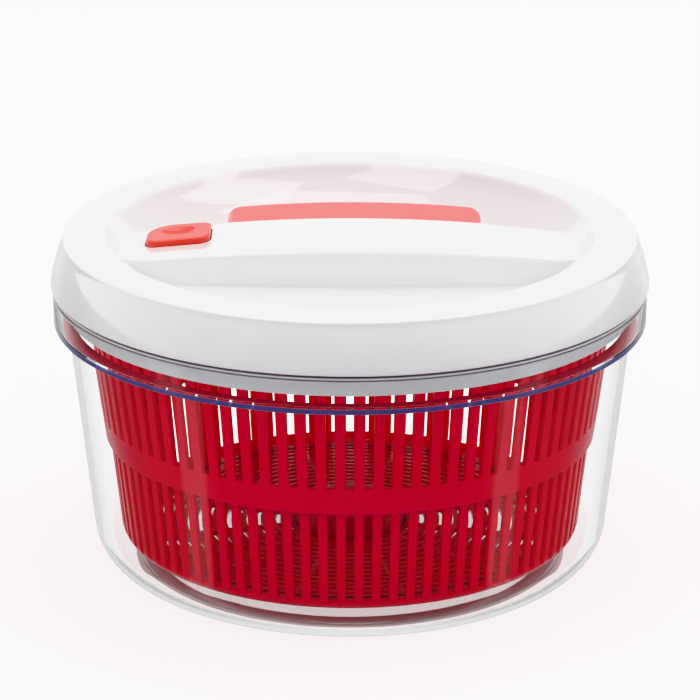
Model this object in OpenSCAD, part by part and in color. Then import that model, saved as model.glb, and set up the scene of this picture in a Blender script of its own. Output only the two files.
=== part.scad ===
// Squeeze-handle salad spinner: a clear bowl, a slotted basket on a centre pin, and a lid
// whose trigger winds the basket round through a rack, a step-up gear and a ratchet clutch.
// Millimetres, +Z up, origin on the table under the bowl's centre, trigger towards +Y.

/* [Overall] */
// Height from the table to the lid's top ring
height = 150; // [148:1:156]
// Radius of the lid at the foot of its skirt
lid_r = 131; // [130:0.5:134]

/* [Lid] */
// Wall thickness of the white mouldings
wall = 2.2; // [2:0.1:2.4]
// Depth of the finger dish below the top ring
dish_depth = 20; // [19.5:0.1:20.5]
// Width of the palm bridge across the lid
bridge_w = 49; // [48.5:0.1:51]
// Radius of the bridge's long arch
arch_r = 890; // [800:10:1200]

/* [Trigger] */
// Width of the trigger
trigger_w = 114; // [112:0.5:115]
// Distance from the lid's centre to the trigger's rear face
trigger_reach = 57.5; // [54:0.5:60]
// Height that the brake button stands above the bridge
button_proud = 2.8; // [2.4:0.1:3]

/* [Bowl] */
// Wall thickness of the clear bowl
bowl_wall = 2.6; // [2.2:0.1:2.8]
// Radius of the bowl's bottom corner
bowl_corner_r = 20; // [18:1:22]

/* [Basket] */
// Number of upright slots round the basket
slot_count = 88; // [60:2:90]
// Width of each slot
slot_w = 3.7; // [3:0.1:3.8]

/* [Hidden] */

$fn = 96;
fine = 180;
eps = 0.01;

// Heights of the lid's mouldings, all counted down from the top ring
ring_z = height;
dish_z = ring_z - dish_depth;
dish_under_z = dish_z - wall;
bridge_top_z = ring_z - 2;
skirt_z = ring_z - 21;
web_z = ring_z - 21.4;
rim_z = ring_z - 21.6;
plug_z = ring_z - 31.6;
base_z = ring_z - 34.8;
base_t = 2;
frame_t = 2;
frame_z = dish_under_z - frame_t;

// Radii of the lid
ring_out_r = lid_r - 6;
ring_in_r = lid_r - 24.4;
dish_floor_r = lid_r - 58.5;
cove_r = 39.5;
cove_angle = 57;
plug_r = lid_r - 7;
web_r = lid_r - 3.2;
well_r = 84;
lid_screw_r = 109;
lid_screw_count = 6;

// Bridge, trigger and button
bridge_side_r = 1200;
bridge_end_r = lid_r - 26.4;
trigger_x = 2;
trigger_gap = 0.35;
trigger_front = 7;
trigger_corner_r = 9;
trigger_bow_r = 543;
trigger_foot_z = dish_z + 1.2;
button_x = [-89, -61];
button_y = [-6.5, 16.5];
spring_z = ring_z - 15;
spring_dx = 47;
frame_screw_dx = 62.2;
frame_screw_dy = 18.9;
rack_top_z = ring_z - 8.2;

// Gear train: a rack turns the pinion, whose large wheel turns the clutch gear
rack_module = 1;
pinion_teeth = 12;
step_module = 0.8;
wheel_teeth = 60;
clutch_teeth = 15;
pressure_angle = 25;
addendum = 0.8;
dedendum = 1.05;
backlash = 0.24;
pinion_r = rack_module * pinion_teeth / 2;
wheel_r = step_module * wheel_teeth / 2;
clutch_r = step_module * clutch_teeth / 2;
axle_x = wheel_r + clutch_r;
axle_r = 1.5;
shaft_r = 3;
run_gap = 0.05;
wheel_z = base_z + 4.2;
wheel_t = 4.6;
pinion_z = ring_z - 17.6;
pinion_t = 6.8;
cup_z = wheel_z + wheel_t + 0.5;
cup_h = 6.4;
cup_r = 11;
ratchet_teeth = 12;
ratchet_tip_r = 8.2;
ratchet_root_r = 9.4;
ratchet_phase = 15.2;
pawl_pivot_r = 5.5;
cage_z = ring_z - 10.4;
cage_half_w = 15;

// Basket and drive disc
basket_z = 13.4;
step_z = 60.8;
band_top_z = 72.3;
upper_slot_top_z = plug_z + 0.4;
basket_rim_z = ring_z - 25;
basket_wall = 2.2;
basket_taper = 0.126;
basket_low_taper = 0.104;
basket_low_r = 106.6;
basket_step = 1.9;
basket_corner_r = 8;
low_slot_z = basket_z + 4.6;
floor_slot_w = 2;
floor_slot_radii = [for (i = [0:13]) 27 + i * 4.4];
spoke_count = 12;
spoke_w = 2.4;
lug_count = 6;
disc_z = base_z - 4.7;
disc_t = 2;
disc_rim_z = basket_rim_z + 0.4;
disc_r = 117.6;
shaft_end_z = disc_z - 5.6;

// Bowl
floor_z = 0.8;
bowl_taper = 0.1017;
bowl_r = lid_r - 7;
ledge_z = rim_z - 16.4;
collar_r = lid_r - 1;
ledge_edge_r = 1.4;
pin_r = 2.5;

// Brake
brake_x = -75;
brake_y = 5;
brake_rod_r = 3;

// Points along an arc about [cx, cy], from angle a0 to a1, in n steps
function arc(cx, cy, r, a0, a1, n = 6) =
  [for (i = [0:n]) let (a = a0 + (a1 - a0) * i / n) [cx + r * cos(a), cy + r * sin(a)]];

// Points along a curve from p to q, drawn towards the corner c
function bend(p, c, q, n = 6) =
  [for (i = [0:n]) let (t = i / n) (1 - t) * (1 - t) * p + 2 * t * (1 - t) * c + t * t * q];

// Involute of an angle, in degrees
function inv(a) = tan(a) * 180 / PI - a;

// Half the angle that a gear tooth takes up at radius r, in degrees
function tooth_half_angle(r, pitch_r, module_mm) =
  let (base_r = pitch_r * cos(pressure_angle))
  ((PI * module_mm / 2 - backlash / 2) / (2 * pitch_r)) * 180 / PI
    + inv(pressure_angle) - inv(acos(min(1, base_r / r)));

// Outline of a spur gear with a tooth centred on +X
function gear_points(module_mm, teeth) =
  let (
    pitch_r = module_mm * teeth / 2,
    base_r = pitch_r * cos(pressure_angle),
    root_r = pitch_r - dedendum * module_mm,
    tip_r = pitch_r + addendum * module_mm,
    start_r = max(root_r, base_r + eps),
    radii = [for (i = [0:4]) start_r + (tip_r - start_r) * i / 4],
    flank = concat([[root_r, start_r]], [for (r = radii) [r, r]])
  )
  [for (k = [0:teeth - 1])
    let (mid = k * 360 / teeth)
    each concat(
      [for (f = flank) let (a = mid - tooth_half_angle(f[1], pitch_r, module_mm))
        f[0] * [cos(a), sin(a)]],
      [for (i = [len(flank) - 1:-1:0])
        let (f = flank[i], a = mid + tooth_half_angle(f[1], pitch_r, module_mm))
        f[0] * [cos(a), sin(a)]])];

// Outline of the trigger seen from above, drawn in by d
function trigger_rear_y(x) = trigger_reach - (x - trigger_x) * (x - trigger_x) / (2 * trigger_bow_r);
function trigger_plan(d) =
  let (
    x0 = trigger_x - trigger_w / 2 + d,
    x1 = trigger_x + trigger_w / 2 - d,
    r = trigger_corner_r - d,
    front = trigger_front - (d > 0 ? 5 : 0)
  )
  concat(
    [[x0, front], [x1, front]],
    arc(x1 - r, trigger_rear_y(x1 - r) - d - r, r, 0, 90),
    [for (i = [1:7]) let (x = x1 - r - (x1 - x0 - 2 * r) * i / 8) [x, trigger_rear_y(x) - d]],
    arc(x0 + r, trigger_rear_y(x0 + r) - d - r, r, 90, 180));

// Outline of the brake button seen from above, drawn in by d
function button_plan(d) =
  let (x0 = button_x[0] + d, x1 = button_x[1] - d, y0 = button_y[0] + d, y1 = button_y[1] - d)
  concat(
    arc(x0 + 5 - d, y0 + 5 - d, 5 - d, 180, 270),
    arc(x1 - 4 + d, y0 + 4 - d, 4 - d, 270, 360),
    arc(x1 - 4 + d, y1 - 4 + d, 4 - d, 0, 90),
    arc(x0 + 12 - d, y1 - 12 + d, 12 - d, 90, 180, 8));

// Outer line of the bowl's wall, and the centre of its bottom corner
function bowl_wall_r(z) = bowl_r - (ledge_z - z) * bowl_taper;
bowl_corner_z = floor_z + bowl_corner_r;
bowl_corner_x = bowl_wall_r(bowl_corner_z) - bowl_corner_r * sqrt(1 + bowl_taper * bowl_taper);
wall_lean = atan(bowl_taper);

// Outer line of the basket's wall below and above its step
function basket_low(z) = basket_low_r - (step_z - z) * basket_low_taper;
function basket_high(z) = basket_low_r + basket_step + (z - step_z) * basket_taper;

// Everything below the bridge's arch, drawn down by d
module under_arch(d) {
  translate([0, 0, bridge_top_z - arch_r])
    rotate([90, 0, 0])
      cylinder(r = arch_r - d, h = 300, center = true, $fn = 900);
}

// Outline of the bridge seen from above: long edges that curve in, drawn in by d
function bridge_plan(d) =
  let (half = bridge_w / 2 - d, edge_x = [for (i = [-10:10]) i * 11])
  concat(
    [for (x = edge_x) [x, -half + x * x / (2 * bridge_side_r)]],
    [for (i = [20:-1:0]) [edge_x[i], half - edge_x[i] * edge_x[i] / (2 * bridge_side_r)]]);

// Column over and under the bridge, drawn in by d
module bridge_column(d) {
  intersection() {
    translate([0, 0, frame_z - 2])
      linear_extrude(height = 40)
        polygon(bridge_plan(d));
    translate([0, 0, frame_z - 2])
      cylinder(r = bridge_end_r - d, h = 40, $fn = fine);
  }
}

// Arched bar across the dish, drawn in by d
module bridge_form(d) {
  intersection() {
    bridge_column(d);
    under_arch(d);
  }
}

// Open coil spring about +Z from z = 0, as a swept wire
module coil_spring(length, coil_r, wire_r, turns) {
  steps = 12;
  sides = 6;
  rings = turns * steps;
  lift = (length - 2 * wire_r) / rings;
  points = [for (i = [0:rings]) let (a = i * 360 / steps, z = wire_r + i * lift)
    for (k = [0:sides - 1]) let (b = k * 360 / sides, r = coil_r + wire_r * cos(b))
      [r * cos(a), r * sin(a), z + wire_r * sin(b)]];
  last = rings * sides;
  faces = concat(
    [[for (k = [0:sides - 1]) k]],
    [[for (k = [sides - 1:-1:0]) last + k]],
    [for (i = [0:rings - 1]) for (k = [0:sides - 1]) let (n = (k + 1) % sides)
      each [
        [i * sides + k, (i + 1) * sides + k, (i + 1) * sides + n],
        [i * sides + k, (i + 1) * sides + n, i * sides + n]]]);
  polyhedron(points = points, faces = faces, convexity = 8);
}

// Cross recess in a screw's head, opening downwards at z = 0
module cross_recess(size, depth) {
  for (turn = [0, 90])
    rotate([0, 0, turn])
      translate([-size / 2, -0.35, -eps])
        cube([size, 0.7, depth]);
}

// Pan-head screw driven upwards, with its head's top face at z = 0
module pan_screw(shank_r, length, head_r, head_h) {
  difference() {
    union() {
      translate([0, 0, -head_h])
        cylinder(r = head_r, h = head_h, $fn = 32);
      cylinder(r = shank_r, h = length, $fn = 32);
    }
    translate([0, 0, -head_h])
      cross_recess(head_r * 1.2, head_h * 0.6);
  }
}

// Countersunk screw driven upwards, flush with z = 0
module countersunk_screw(shank_r, length, head_r, head_h) {
  difference() {
    rotate_extrude($fn = 32)
      polygon([[0, 0], [head_r, 0], [shank_r, head_h], [shank_r, length], [0, length]]);
    cross_recess(head_r * 1.2, head_h * 0.6);
  }
}

// Copies a child to each lid screw
module at_lid_screws() {
  for (i = [0:lid_screw_count - 1])
    rotate([0, 0, 30 + i * 360 / lid_screw_count])
      translate([lid_screw_r, 0, 0])
        children();
}

// Copies a child to each screw of the gear frame
module at_frame_screws() {
  for (x = [trigger_x - frame_screw_dx, trigger_x + frame_screw_dx])
    for (y = [-frame_screw_dy, frame_screw_dy])
      translate([x, y, 0])
        children();
}

// Copies a child to each screw of the rack
module at_rack_screws() {
  for (y = [11.5, 20])
    translate([axle_x + pinion_r + 4.5, y, 0])
      children();
}

// Copies a child to each spring seat
module at_trigger_springs() {
  for (x = [trigger_x - spring_dx, trigger_x + spring_dx])
    translate([x, 0, spring_z])
      children();
}

// Clear bowl with a stepped collar for the lid and a boss for the pivot pin
module bowl() {
  inner_r = bowl_corner_r - bowl_wall;
  top_inner = bowl_wall_r(ledge_z) - bowl_wall;
  color("lightcyan", 0.35)
    rotate_extrude($fn = fine)
      polygon(concat(
        // underside: hollow under the boss, groove for the foot ring
        [[0, 6.5], [5, 6.5], [9, floor_z], [87, floor_z], [87, 2.6], [93, 2.6], [93, floor_z]],
        arc(bowl_corner_x, bowl_corner_z, bowl_corner_r, -90, -wall_lean, 10),
        // ledge and collar
        [[bowl_r, ledge_z]],
        arc(collar_r - ledge_edge_r, ledge_z + 0.3 + ledge_edge_r, ledge_edge_r, -90, 0),
        [[collar_r, rim_z - 0.8], [collar_r - 0.8, rim_z], [collar_r - 3, rim_z],
          [collar_r - 3.6, rim_z - 0.6], [collar_r - 3.6, rim_z - 2.4],
          [collar_r - bowl_wall, rim_z - 3.6]],
        arc(collar_r - 4.2, ledge_z + 4.5, 4.2 - bowl_wall, 0, -90, 4),
        [[top_inner, ledge_z + 2.6]],
        // inside wall, corner and floor
        arc(bowl_corner_x, bowl_corner_z, inner_r, -wall_lean, -90, 10),
        [[bowl_corner_x - 0.4, 4.8], [85.8, 4.8], [85, floor_z + bowl_wall],
          [22, floor_z + bowl_wall], [12, 8.5], [8, 15], [pin_r + run_gap, 15],
          [pin_r + run_gap, 8.5], [0, 8.5]]));
}

// Soft ring under the bowl that it stands on
module foot_ring() {
  color("indianred", 0.8)
    rotate_extrude($fn = fine)
      polygon([[87.1, 2.5], [87.1, 0.5], [87.6, 0], [92.4, 0], [92.9, 0.5], [92.9, 2.5]]);
}

// Steel pin that the basket turns on
module pivot_pin() {
  color("silver")
    rotate_extrude($fn = 48)
      polygon(concat([[0, 8.5], [pin_r, 8.5], [pin_r, 22.4]], arc(0, 22.4 - 1.2, 2.77, 25.7, 90, 5)));
}

// Radial cutters for one ring of slots between two radii and two heights
module slot_ring(count, width, r0, r1, z0, z1, turn = 0) {
  for (i = [0:count - 1])
    rotate([0, 0, turn + i * 360 / count])
      translate([r0, -width / 2, z0])
        cube([r1 - r0, width, z1 - z0]);
}

// Ring-shaped cutters for the basket's floor, divided by spokes
module floor_slots(z0, z1) {
  difference() {
    for (r = floor_slot_radii)
      rotate_extrude($fn = fine)
        polygon([[r, z0], [r + floor_slot_w, z0], [r + floor_slot_w, z1], [r, z1]]);
    slot_ring(spoke_count, spoke_w, 20, 92, z0 - eps, z1 + eps, 15);
  }
}

// Basket with two rows of upright slots, a slotted floor and a notched rim
module basket() {
  low = basket_low(basket_z + basket_corner_r);
  corner_x = low - basket_corner_r;
  corner_z = basket_z + basket_corner_r;
  inner_corner = basket_corner_r - basket_wall;
  floor_top = basket_z + basket_wall;
  rim_r = basket_high(basket_rim_z);
  color("crimson")
    difference() {
      rotate_extrude($fn = fine)
        polygon(concat(
          [[4.55, 17.5], [6.8, 17.5], [6.8, 24.4], [14, 24.4], [20, basket_z]],
          arc(corner_x, corner_z, basket_corner_r, -90, 0),
          [[basket_low_r, step_z], [basket_low_r + basket_step, step_z]],
          [[basket_high(basket_rim_z - 2.4), basket_rim_z - 2.4],
            [rim_r + 2.2, basket_rim_z - 2.4], [rim_r + 2.6, basket_rim_z - 2],
            [rim_r + 2.6, basket_rim_z - 0.4], [rim_r + 2.2, basket_rim_z],
            [rim_r - basket_wall, basket_rim_z]],
          [[basket_low_r + basket_step - basket_wall + 0.3, step_z + basket_wall],
            [basket_low_r - basket_wall + 0.2, step_z + basket_wall]],
          arc(corner_x, corner_z, inner_corner, 0, -90),
          [[21.2, floor_top], [15.2, 26.6], [4, 26.6], [4, 25.6], [4.55, 25.6]]));
      // upper and lower rows of wall slots
      slot_ring(slot_count, slot_w, 98, 118, band_top_z, upper_slot_top_z);
      slot_ring(slot_count, slot_w, 92, 108, low_slot_z, step_z - 0.4);
      floor_slots(basket_z - 1, floor_top + 1);
      // notches that the drive disc's lugs drop into
      slot_ring(lug_count, 7.2, 108, 122, basket_rim_z - 4, basket_rim_z + 1);
    }
}

// Plastic bearing cup in the basket's hub
module basket_bush() {
  color("ivory")
    rotate_extrude($fn = 48)
      polygon([[pin_r + run_gap, 17.5], [4.5, 17.5], [4.5, 25.5], [0, 25.5], [0, 24.2],
        [pin_r + run_gap, 24.2]]);
}

// The dish's curved wall in section, d below its top surface
function cove(d) = arc(dish_floor_r, dish_z + cove_r, cove_r + d, -90, cove_angle - 90, 12);

// Half section of the space that lies d below the dish's top surface, from radius r0 outwards
module space_under_dish(d, r0) {
  intersection() {
    polygon(concat([[0, frame_z - 10], [0, dish_z - d]], cove(d), [[ring_in_r + 1.6, frame_z - 10]]));
    translate([r0, frame_z - 10])
      square([lid_r, 40]);
  }
}

// Half section of the cover's sheet: dish, ring, crease and skirt
module cover_section() {
  under = cove(wall);
  polygon(concat(
    [[0, dish_z]],
    cove(0),
    [[ring_in_r - 0.4, ring_z - 1.1], [ring_in_r + 0.1, ring_z - 0.5],
      [ring_in_r + 1.1, ring_z - 0.15], [ring_out_r - 1, ring_z]],
    arc(ring_out_r - 0.9, ring_z - 0.9, 0.9, 80, 20, 3),
    bend([ring_out_r + 0.2, ring_z - 1.6], [ring_out_r + 4.2, ring_z - 11], [lid_r, skirt_z + 0.5], 6),
    [[lid_r - 0.5, skirt_z], [lid_r - wall, skirt_z]],
    bend([lid_r - wall - 0.1, skirt_z + 1], [ring_out_r + 4.2 - wall, ring_z - 11],
      [ring_out_r - wall, ring_z - wall - 0.6], 5),
    [[ring_out_r - wall - 0.9, ring_z - wall], [ring_in_r + wall, ring_z - wall - 0.2]],
    [for (i = [len(under) - 1:-1:0]) under[i]],
    [[0, dish_under_z]]));
}

// White top moulding: skirt, ring, dish and palm bridge in one
module lid_cover() {
  half = trigger_w / 2 + 0.8;
  color("whitesmoke")
    difference() {
      union() {
        difference() {
          union() {
            rotate_extrude($fn = fine)
              cover_section();
            difference() {
              bridge_form(0);
              rotate_extrude($fn = fine)
                space_under_dish(wall, 0);
            }
            // thick ends of the bridge under the ring
            intersection() {
              linear_extrude(height = ring_z)
                polygon(bridge_plan(0));
              rotate_extrude($fn = fine)
                space_under_dish(wall / 2, bridge_end_r - wall);
              translate([0, 0, ring_z - 12])
                cylinder(r = lid_r, h = 12);
            }
          }
          bridge_form(wall);
          // room above the bridge's low ends
          difference() {
            bridge_column(0);
            under_arch(0);
          }
          // mouth that the trigger slides into
          intersection() {
            translate([trigger_x - half, 18, dish_z])
              cube([2 * half, 10, 20]);
            under_arch(wall);
          }
          // well of the brake button
          linear_extrude(height = ring_z + 5)
            polygon(button_plan(-0.5));
        }
        // posts for the frame's screws, hanging from the bridge
        intersection() {
          at_frame_screws()
            translate([0, 0, dish_under_z])
              cylinder(r = 2.5, h = 25, $fn = 32);
          under_arch(wall / 2);
        }
        // posts for the lid's screws, hanging from the ring
        at_lid_screws()
          translate([0, 0, web_z + 2])
            cylinder(r = 3.4, h = ring_z - wall / 2 - web_z - 2, $fn = 32);
      }
      at_frame_screws()
        translate([0, 0, dish_under_z - 1])
          cylinder(r = 1.15, h = 11, $fn = 32);
      at_lid_screws()
        translate([0, 0, web_z])
          cylinder(r = 1.4, h = 11, $fn = 32);
    }
}

// White inner moulding: plug wall, web and well that closes the gears from below
module lid_base() {
  top = base_z + base_t;
  color("white")
    difference() {
      union() {
        rotate_extrude($fn = fine)
          polygon([[5.04, base_z], [well_r + 1.5, base_z], [well_r + 8, web_z],
            [plug_r - wall, web_z], [plug_r - wall, plug_z + 0.5], [plug_r - wall + 0.5, plug_z],
            [plug_r - 0.5, plug_z], [plug_r, plug_z + 0.5], [plug_r, web_z], [web_r, web_z],
            [web_r, web_z + base_t], [well_r + 6.6, web_z + base_t], [well_r + 0.3, top],
            [5.04, top]]);
        translate([axle_x, 0, top - eps])
          cylinder(r = 4, h = 1.8, $fn = 48);
        translate([brake_x, brake_y, top - eps])
          cylinder(r = 8, h = 2, $fn = 48);
      }
      translate([axle_x, 0, base_z + 1])
        cylinder(r = axle_r + 0.03, h = 5, $fn = 48);
      translate([brake_x, brake_y, base_z - 1])
        cylinder(r = 6.2, h = 7, $fn = 48);
      at_lid_screws()
        translate([0, 0, web_z - eps]) {
          cylinder(r = 1.5, h = 3, $fn = 32);
          cylinder(r1 = 2.9, r2 = 1.5, h = 1.5, $fn = 32);
        }
    }
}

// Screws that hold the lid's two mouldings together
module lid_screws() {
  color("silver")
    at_lid_screws()
      translate([0, 0, web_z])
        countersunk_screw(1.3, 10, 2.75, 1.5);
}

// White frame inside the bridge: top bearing of the gears, rails and spring posts
module gear_frame() {
  top = frame_z + frame_t;
  cage_x0 = -16;
  cage_x1 = axle_x + 4.5;
  color("lightgray")
    difference() {
      union() {
        intersection() {
          translate([-84, -29, frame_z])
            cube([168, 58, frame_t]);
          cylinder(r = well_r + 0.5, h = height, $fn = fine);
        }
        // cage over the gears
        for (y = [-cage_half_w, cage_half_w - 2])
          translate([cage_x0, y, top - eps])
            cube([cage_x1 - cage_x0, 2, cage_z - top + 2 * eps]);
        translate([cage_x0, -cage_half_w, top - eps])
          cube([2, 2 * cage_half_w, cage_z - top + 2 * eps]);
        translate([cage_x0, -cage_half_w, cage_z])
          cube([cage_x1 - cage_x0, 2 * cage_half_w, 2]);
        // rails inside the trigger's side walls
        for (x = [trigger_x - trigger_w / 2 + wall + 0.4, trigger_x + trigger_w / 2 - wall - 2.4])
          translate([x, -19.6, top - eps])
            cube([2, 39.6, 8.6]);
        // posts and spigots for the trigger's springs
        at_trigger_springs() {
          translate([-4, -21, top - spring_z - eps])
            cube([8, 1.4, ring_z - 11.5 - top]);
          translate([0, -20.3, 0])
            rotate([-90, 0, 0])
              cylinder(r = 2, h = 4.3, $fn = 32);
        }
        // guide collar of the brake rod
        translate([brake_x, brake_y, top - eps])
          cylinder(r = 5.2, h = 3.2, $fn = 48);
      }
      translate([0, 0, frame_z - 1])
        cylinder(r = cup_r + 0.6, h = frame_t + 2);
      translate([axle_x, 0, frame_z - 1])
        cylinder(r = pinion_r + 1.5, h = frame_t + 2, $fn = 48);
      translate([axle_x, 0, cage_z - 1])
        cylinder(r = axle_r + 0.03, h = 4, $fn = 48);
      translate([0, 0, cage_z - 1])
        cylinder(r = 2 + run_gap, h = 4, $fn = 48);
      translate([brake_x, brake_y, frame_z - 1])
        cylinder(r = brake_rod_r + run_gap, h = 8, $fn = 48);
      at_frame_screws()
        translate([0, 0, frame_z - 1])
          cylinder(r = 1.3, h = 4, $fn = 32);
    }
}

// Screws that hold the frame up under the bridge
module frame_screws() {
  color("silver")
    at_frame_screws()
      translate([0, 0, frame_z])
        pan_screw(1.1, 9, 2.3, 1.5);
}

// Red trigger: a hood that slides in under the bridge when squeezed
module trigger() {
  color("tomato")
    difference() {
      union() {
        difference() {
          intersection() {
            translate([0, 0, trigger_foot_z])
              linear_extrude(height = 30)
                polygon(trigger_plan(0));
            under_arch(wall + trigger_gap);
          }
          intersection() {
            translate([0, 0, trigger_foot_z - 1])
              linear_extrude(height = 30)
                polygon(trigger_plan(wall));
            under_arch(2 * wall + trigger_gap);
          }
        }
        // seats for the return springs
        intersection() {
          at_trigger_springs() {
            translate([-4, 12, -4])
              cube([8, 2, 16]);
            translate([0, 8, 0])
              rotate([-90, 0, 0])
                cylinder(r = 2, h = 4.5, $fn = 32);
          }
          under_arch(wall + trigger_gap + 0.5);
        }
        // block that the rack is screwed to
        intersection() {
          translate([axle_x + pinion_r + 1.1, 8, rack_top_z])
            cube([6.8, 16, 10]);
          under_arch(wall + trigger_gap + 0.5);
        }
        // ears that stop the trigger at the bridge's rear wall
        for (side = [-1, 1])
          translate([trigger_x + side * (trigger_w / 2 + 0.8) - 1.8, 12.2, trigger_foot_z + 1])
            cube([3.6, 8, 6]);
      }
      at_rack_screws()
        translate([0, 0, ring_z - 10])
          cylinder(r = 1, h = 3.8, $fn = 32);
    }
}

// Rack under the trigger, with a tooth gap facing the pinion's middle tooth
module trigger_rack() {
  pitch_x = axle_x + pinion_r;
  pitch = PI * rack_module;
  half = PI * rack_module / 4 - backlash / 4;
  lean = tan(pressure_angle);
  tip = addendum * rack_module;
  root = dedendum * rack_module;
  color("ivory")
    difference() {
      union() {
        translate([0, 0, pinion_z + 0.5])
          linear_extrude(height = 6)
            polygon(concat(
              [[pitch_x + 7.9, 24], [pitch_x + root, 24]],
              [for (k = [5:-1:-2]) let (y = (k + 0.5) * pitch) each [
                [pitch_x + root, y + half + root * lean], [pitch_x - tip, y + half - tip * lean],
                [pitch_x - tip, y - half + tip * lean], [pitch_x + root, y - half - root * lean]]],
              [[pitch_x + root, -6.8], [pitch_x + 7.9, -6.8]]));
        translate([pitch_x + 1.1, 8, pinion_z + 6])
          cube([6.8, 16, rack_top_z - pinion_z - 6]);
      }
      at_rack_screws() {
        translate([0, 0, pinion_z])
          cylinder(r = 2.2, h = 2.5, $fn = 32);
        translate([0, 0, pinion_z])
          cylinder(r = 1.15, h = 12, $fn = 32);
      }
    }
}

// Screws that hold the rack to the trigger
module rack_screws() {
  color("silver")
    at_rack_screws()
      translate([0, 0, pinion_z + 2.5])
        pan_screw(0.95, 8.6, 2, 1.4);
}

// Return springs of the trigger, lying along Y
module trigger_spring(x) {
  color("silver")
    translate([x, -19.5, spring_z])
      rotate([-90, 0, 0])
        coil_spring(31.4, 2.75, 0.4, 9);
}
module trigger_spring_left() {
  trigger_spring(trigger_x - spring_dx);
}
module trigger_spring_right() {
  trigger_spring(trigger_x + spring_dx);
}

// Steel axle of the compound gear
module gear_axle() {
  color("silver")
    translate([axle_x, 0, base_z + 1])
      cylinder(r = axle_r, h = cage_z + 1.8 - base_z - 1, $fn = 48);
}

// Pinion for the rack and large step-up wheel, moulded in one
module compound_gear() {
  color("ivory")
    translate([axle_x, 0, 0])
      difference() {
        union() {
          translate([0, 0, wheel_z])
            linear_extrude(height = wheel_t)
              polygon(gear_points(step_module, wheel_teeth));
          translate([0, 0, wheel_z + wheel_t - eps])
            cylinder(r = 4.6, h = pinion_z - wheel_z - wheel_t + 2 * eps, $fn = 48);
          translate([0, 0, pinion_z])
            linear_extrude(height = pinion_t)
              polygon(gear_points(rack_module, pinion_teeth));
        }
        translate([0, 0, base_z])
          cylinder(r = axle_r + run_gap, h = 30, $fn = 48);
        // lightening ring in the wheel's upper face
        translate([0, 0, wheel_z + 2])
          rotate_extrude($fn = 96)
            translate([7, 0])
              square([13.5, wheel_t]);
      }
}

// Clutch gear: small gear below, ratchet cup above
module clutch_gear() {
  color("gold")
    difference() {
      union() {
        translate([0, 0, wheel_z - 0.2])
          rotate([0, 0, 180 / clutch_teeth])
            linear_extrude(height = cup_z - wheel_z + 0.2 + eps)
              polygon(gear_points(step_module, clutch_teeth));
        translate([0, 0, cup_z])
          cylinder(r = cup_r, h = cup_h);
      }
      translate([0, 0, cup_z + 1.4])
        rotate([0, 0, ratchet_phase])
          linear_extrude(height = cup_h)
            polygon([for (i = [0:ratchet_teeth - 1]) let (a = i * 360 / ratchet_teeth)
              each [
                ratchet_tip_r * [cos(a), sin(a)],
                ratchet_root_r * [cos(a + 1), sin(a + 1)],
                (ratchet_root_r - 0.4) * [cos(a + 11), sin(a + 11)]]]);
      translate([0, 0, base_z])
        cylinder(r = shaft_r + run_gap, h = 20, $fn = 64);
    }
}

// Flanged bush of the drive shaft in the lid's base
module shaft_bush() {
  color("goldenrod")
    rotate_extrude($fn = 64)
      polygon([[shaft_r + run_gap, base_z - 1.2], [7, base_z - 1.2], [7, base_z], [5, base_z],
        [5, wheel_z - 0.8], [shaft_r + run_gap, wheel_z - 0.8]]);
}

// Steel shaft: hexagon for the disc, plain in the bush, thin at the top bearing
module drive_shaft() {
  hex_top = disc_z + 2.4;
  color("silver")
    difference() {
      union() {
        translate([0, 0, shaft_end_z])
          cylinder(r = shaft_r, h = hex_top - shaft_end_z + eps, $fn = 6);
        translate([0, 0, hex_top])
          cylinder(r = shaft_r, h = cage_z - 2.6 - hex_top, $fn = 64);
        translate([0, 0, cage_z - 2.6 - eps])
          cylinder(r = 2, h = 4.2, $fn = 64);
      }
      translate([0, 0, disc_z - 6])
        cylinder(r = 1.25, h = 9, $fn = 32);
    }
}

// Carrier on the shaft, with a hub and two pins for the pawls
module pawl_carrier() {
  color("dimgray")
    difference() {
      union() {
        translate([0, 0, cup_z + 1.8])
          cylinder(r = 7.4, h = 1, $fn = 64);
        translate([0, 0, cup_z + 1.8])
          cylinder(r = 3.85, h = 4.2, $fn = 64);
        for (turn = [0, 180])
          rotate([0, 0, turn])
            translate([pawl_pivot_r, 0, cup_z + 1.8])
              cylinder(r = 0.7, h = 4.2, $fn = 32);
      }
      translate([0, 0, cup_z])
        cylinder(r = shaft_r + 0.03, h = 8, $fn = 64);
    }
}

// One pawl with its moulded spring tongue, lifted just clear of the ratchet
module ratchet_pawl(turn) {
  tip_r = 0.45;
  tip = 7.3 * [cos(46), -sin(46)];
  hub_r = 1.4;
  aim = atan2(tip[1], tip[0] - pawl_pivot_r);
  spread = acos((hub_r - tip_r) / norm(tip - [pawl_pivot_r, 0]));
  color("orange")
    rotate([0, 0, turn])
      difference() {
        translate([0, 0, cup_z + 2.9])
          linear_extrude(height = 2.8)
            polygon(concat(
              arc(pawl_pivot_r, 0, hub_r, aim + spread, aim - spread + 360, 12),
              arc(0, 0, 4.1, -4, -46, 4),
              arc(0, 0, 4.55, -46, -21, 3),
              arc(tip[0], tip[1], tip_r, aim - spread, aim + spread, 6)));
        translate([pawl_pivot_r, 0, cup_z])
          cylinder(r = 0.75, h = 8, $fn = 32);
      }
}
module ratchet_pawl_a() {
  ratchet_pawl(0);
}
module ratchet_pawl_b() {
  ratchet_pawl(180);
}

// Ring that keeps the carrier and the pawls on the shaft
module carrier_clip() {
  color("silver")
    rotate_extrude($fn = 64)
      polygon([[shaft_r + 0.03, cup_z + 6.1], [7.2, cup_z + 6.1], [7.2, cup_z + 6.8],
        [4.4, cup_z + 6.8], [4.4, cup_z + 8.2], [shaft_r + 0.03, cup_z + 8.2]]);
}

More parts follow.
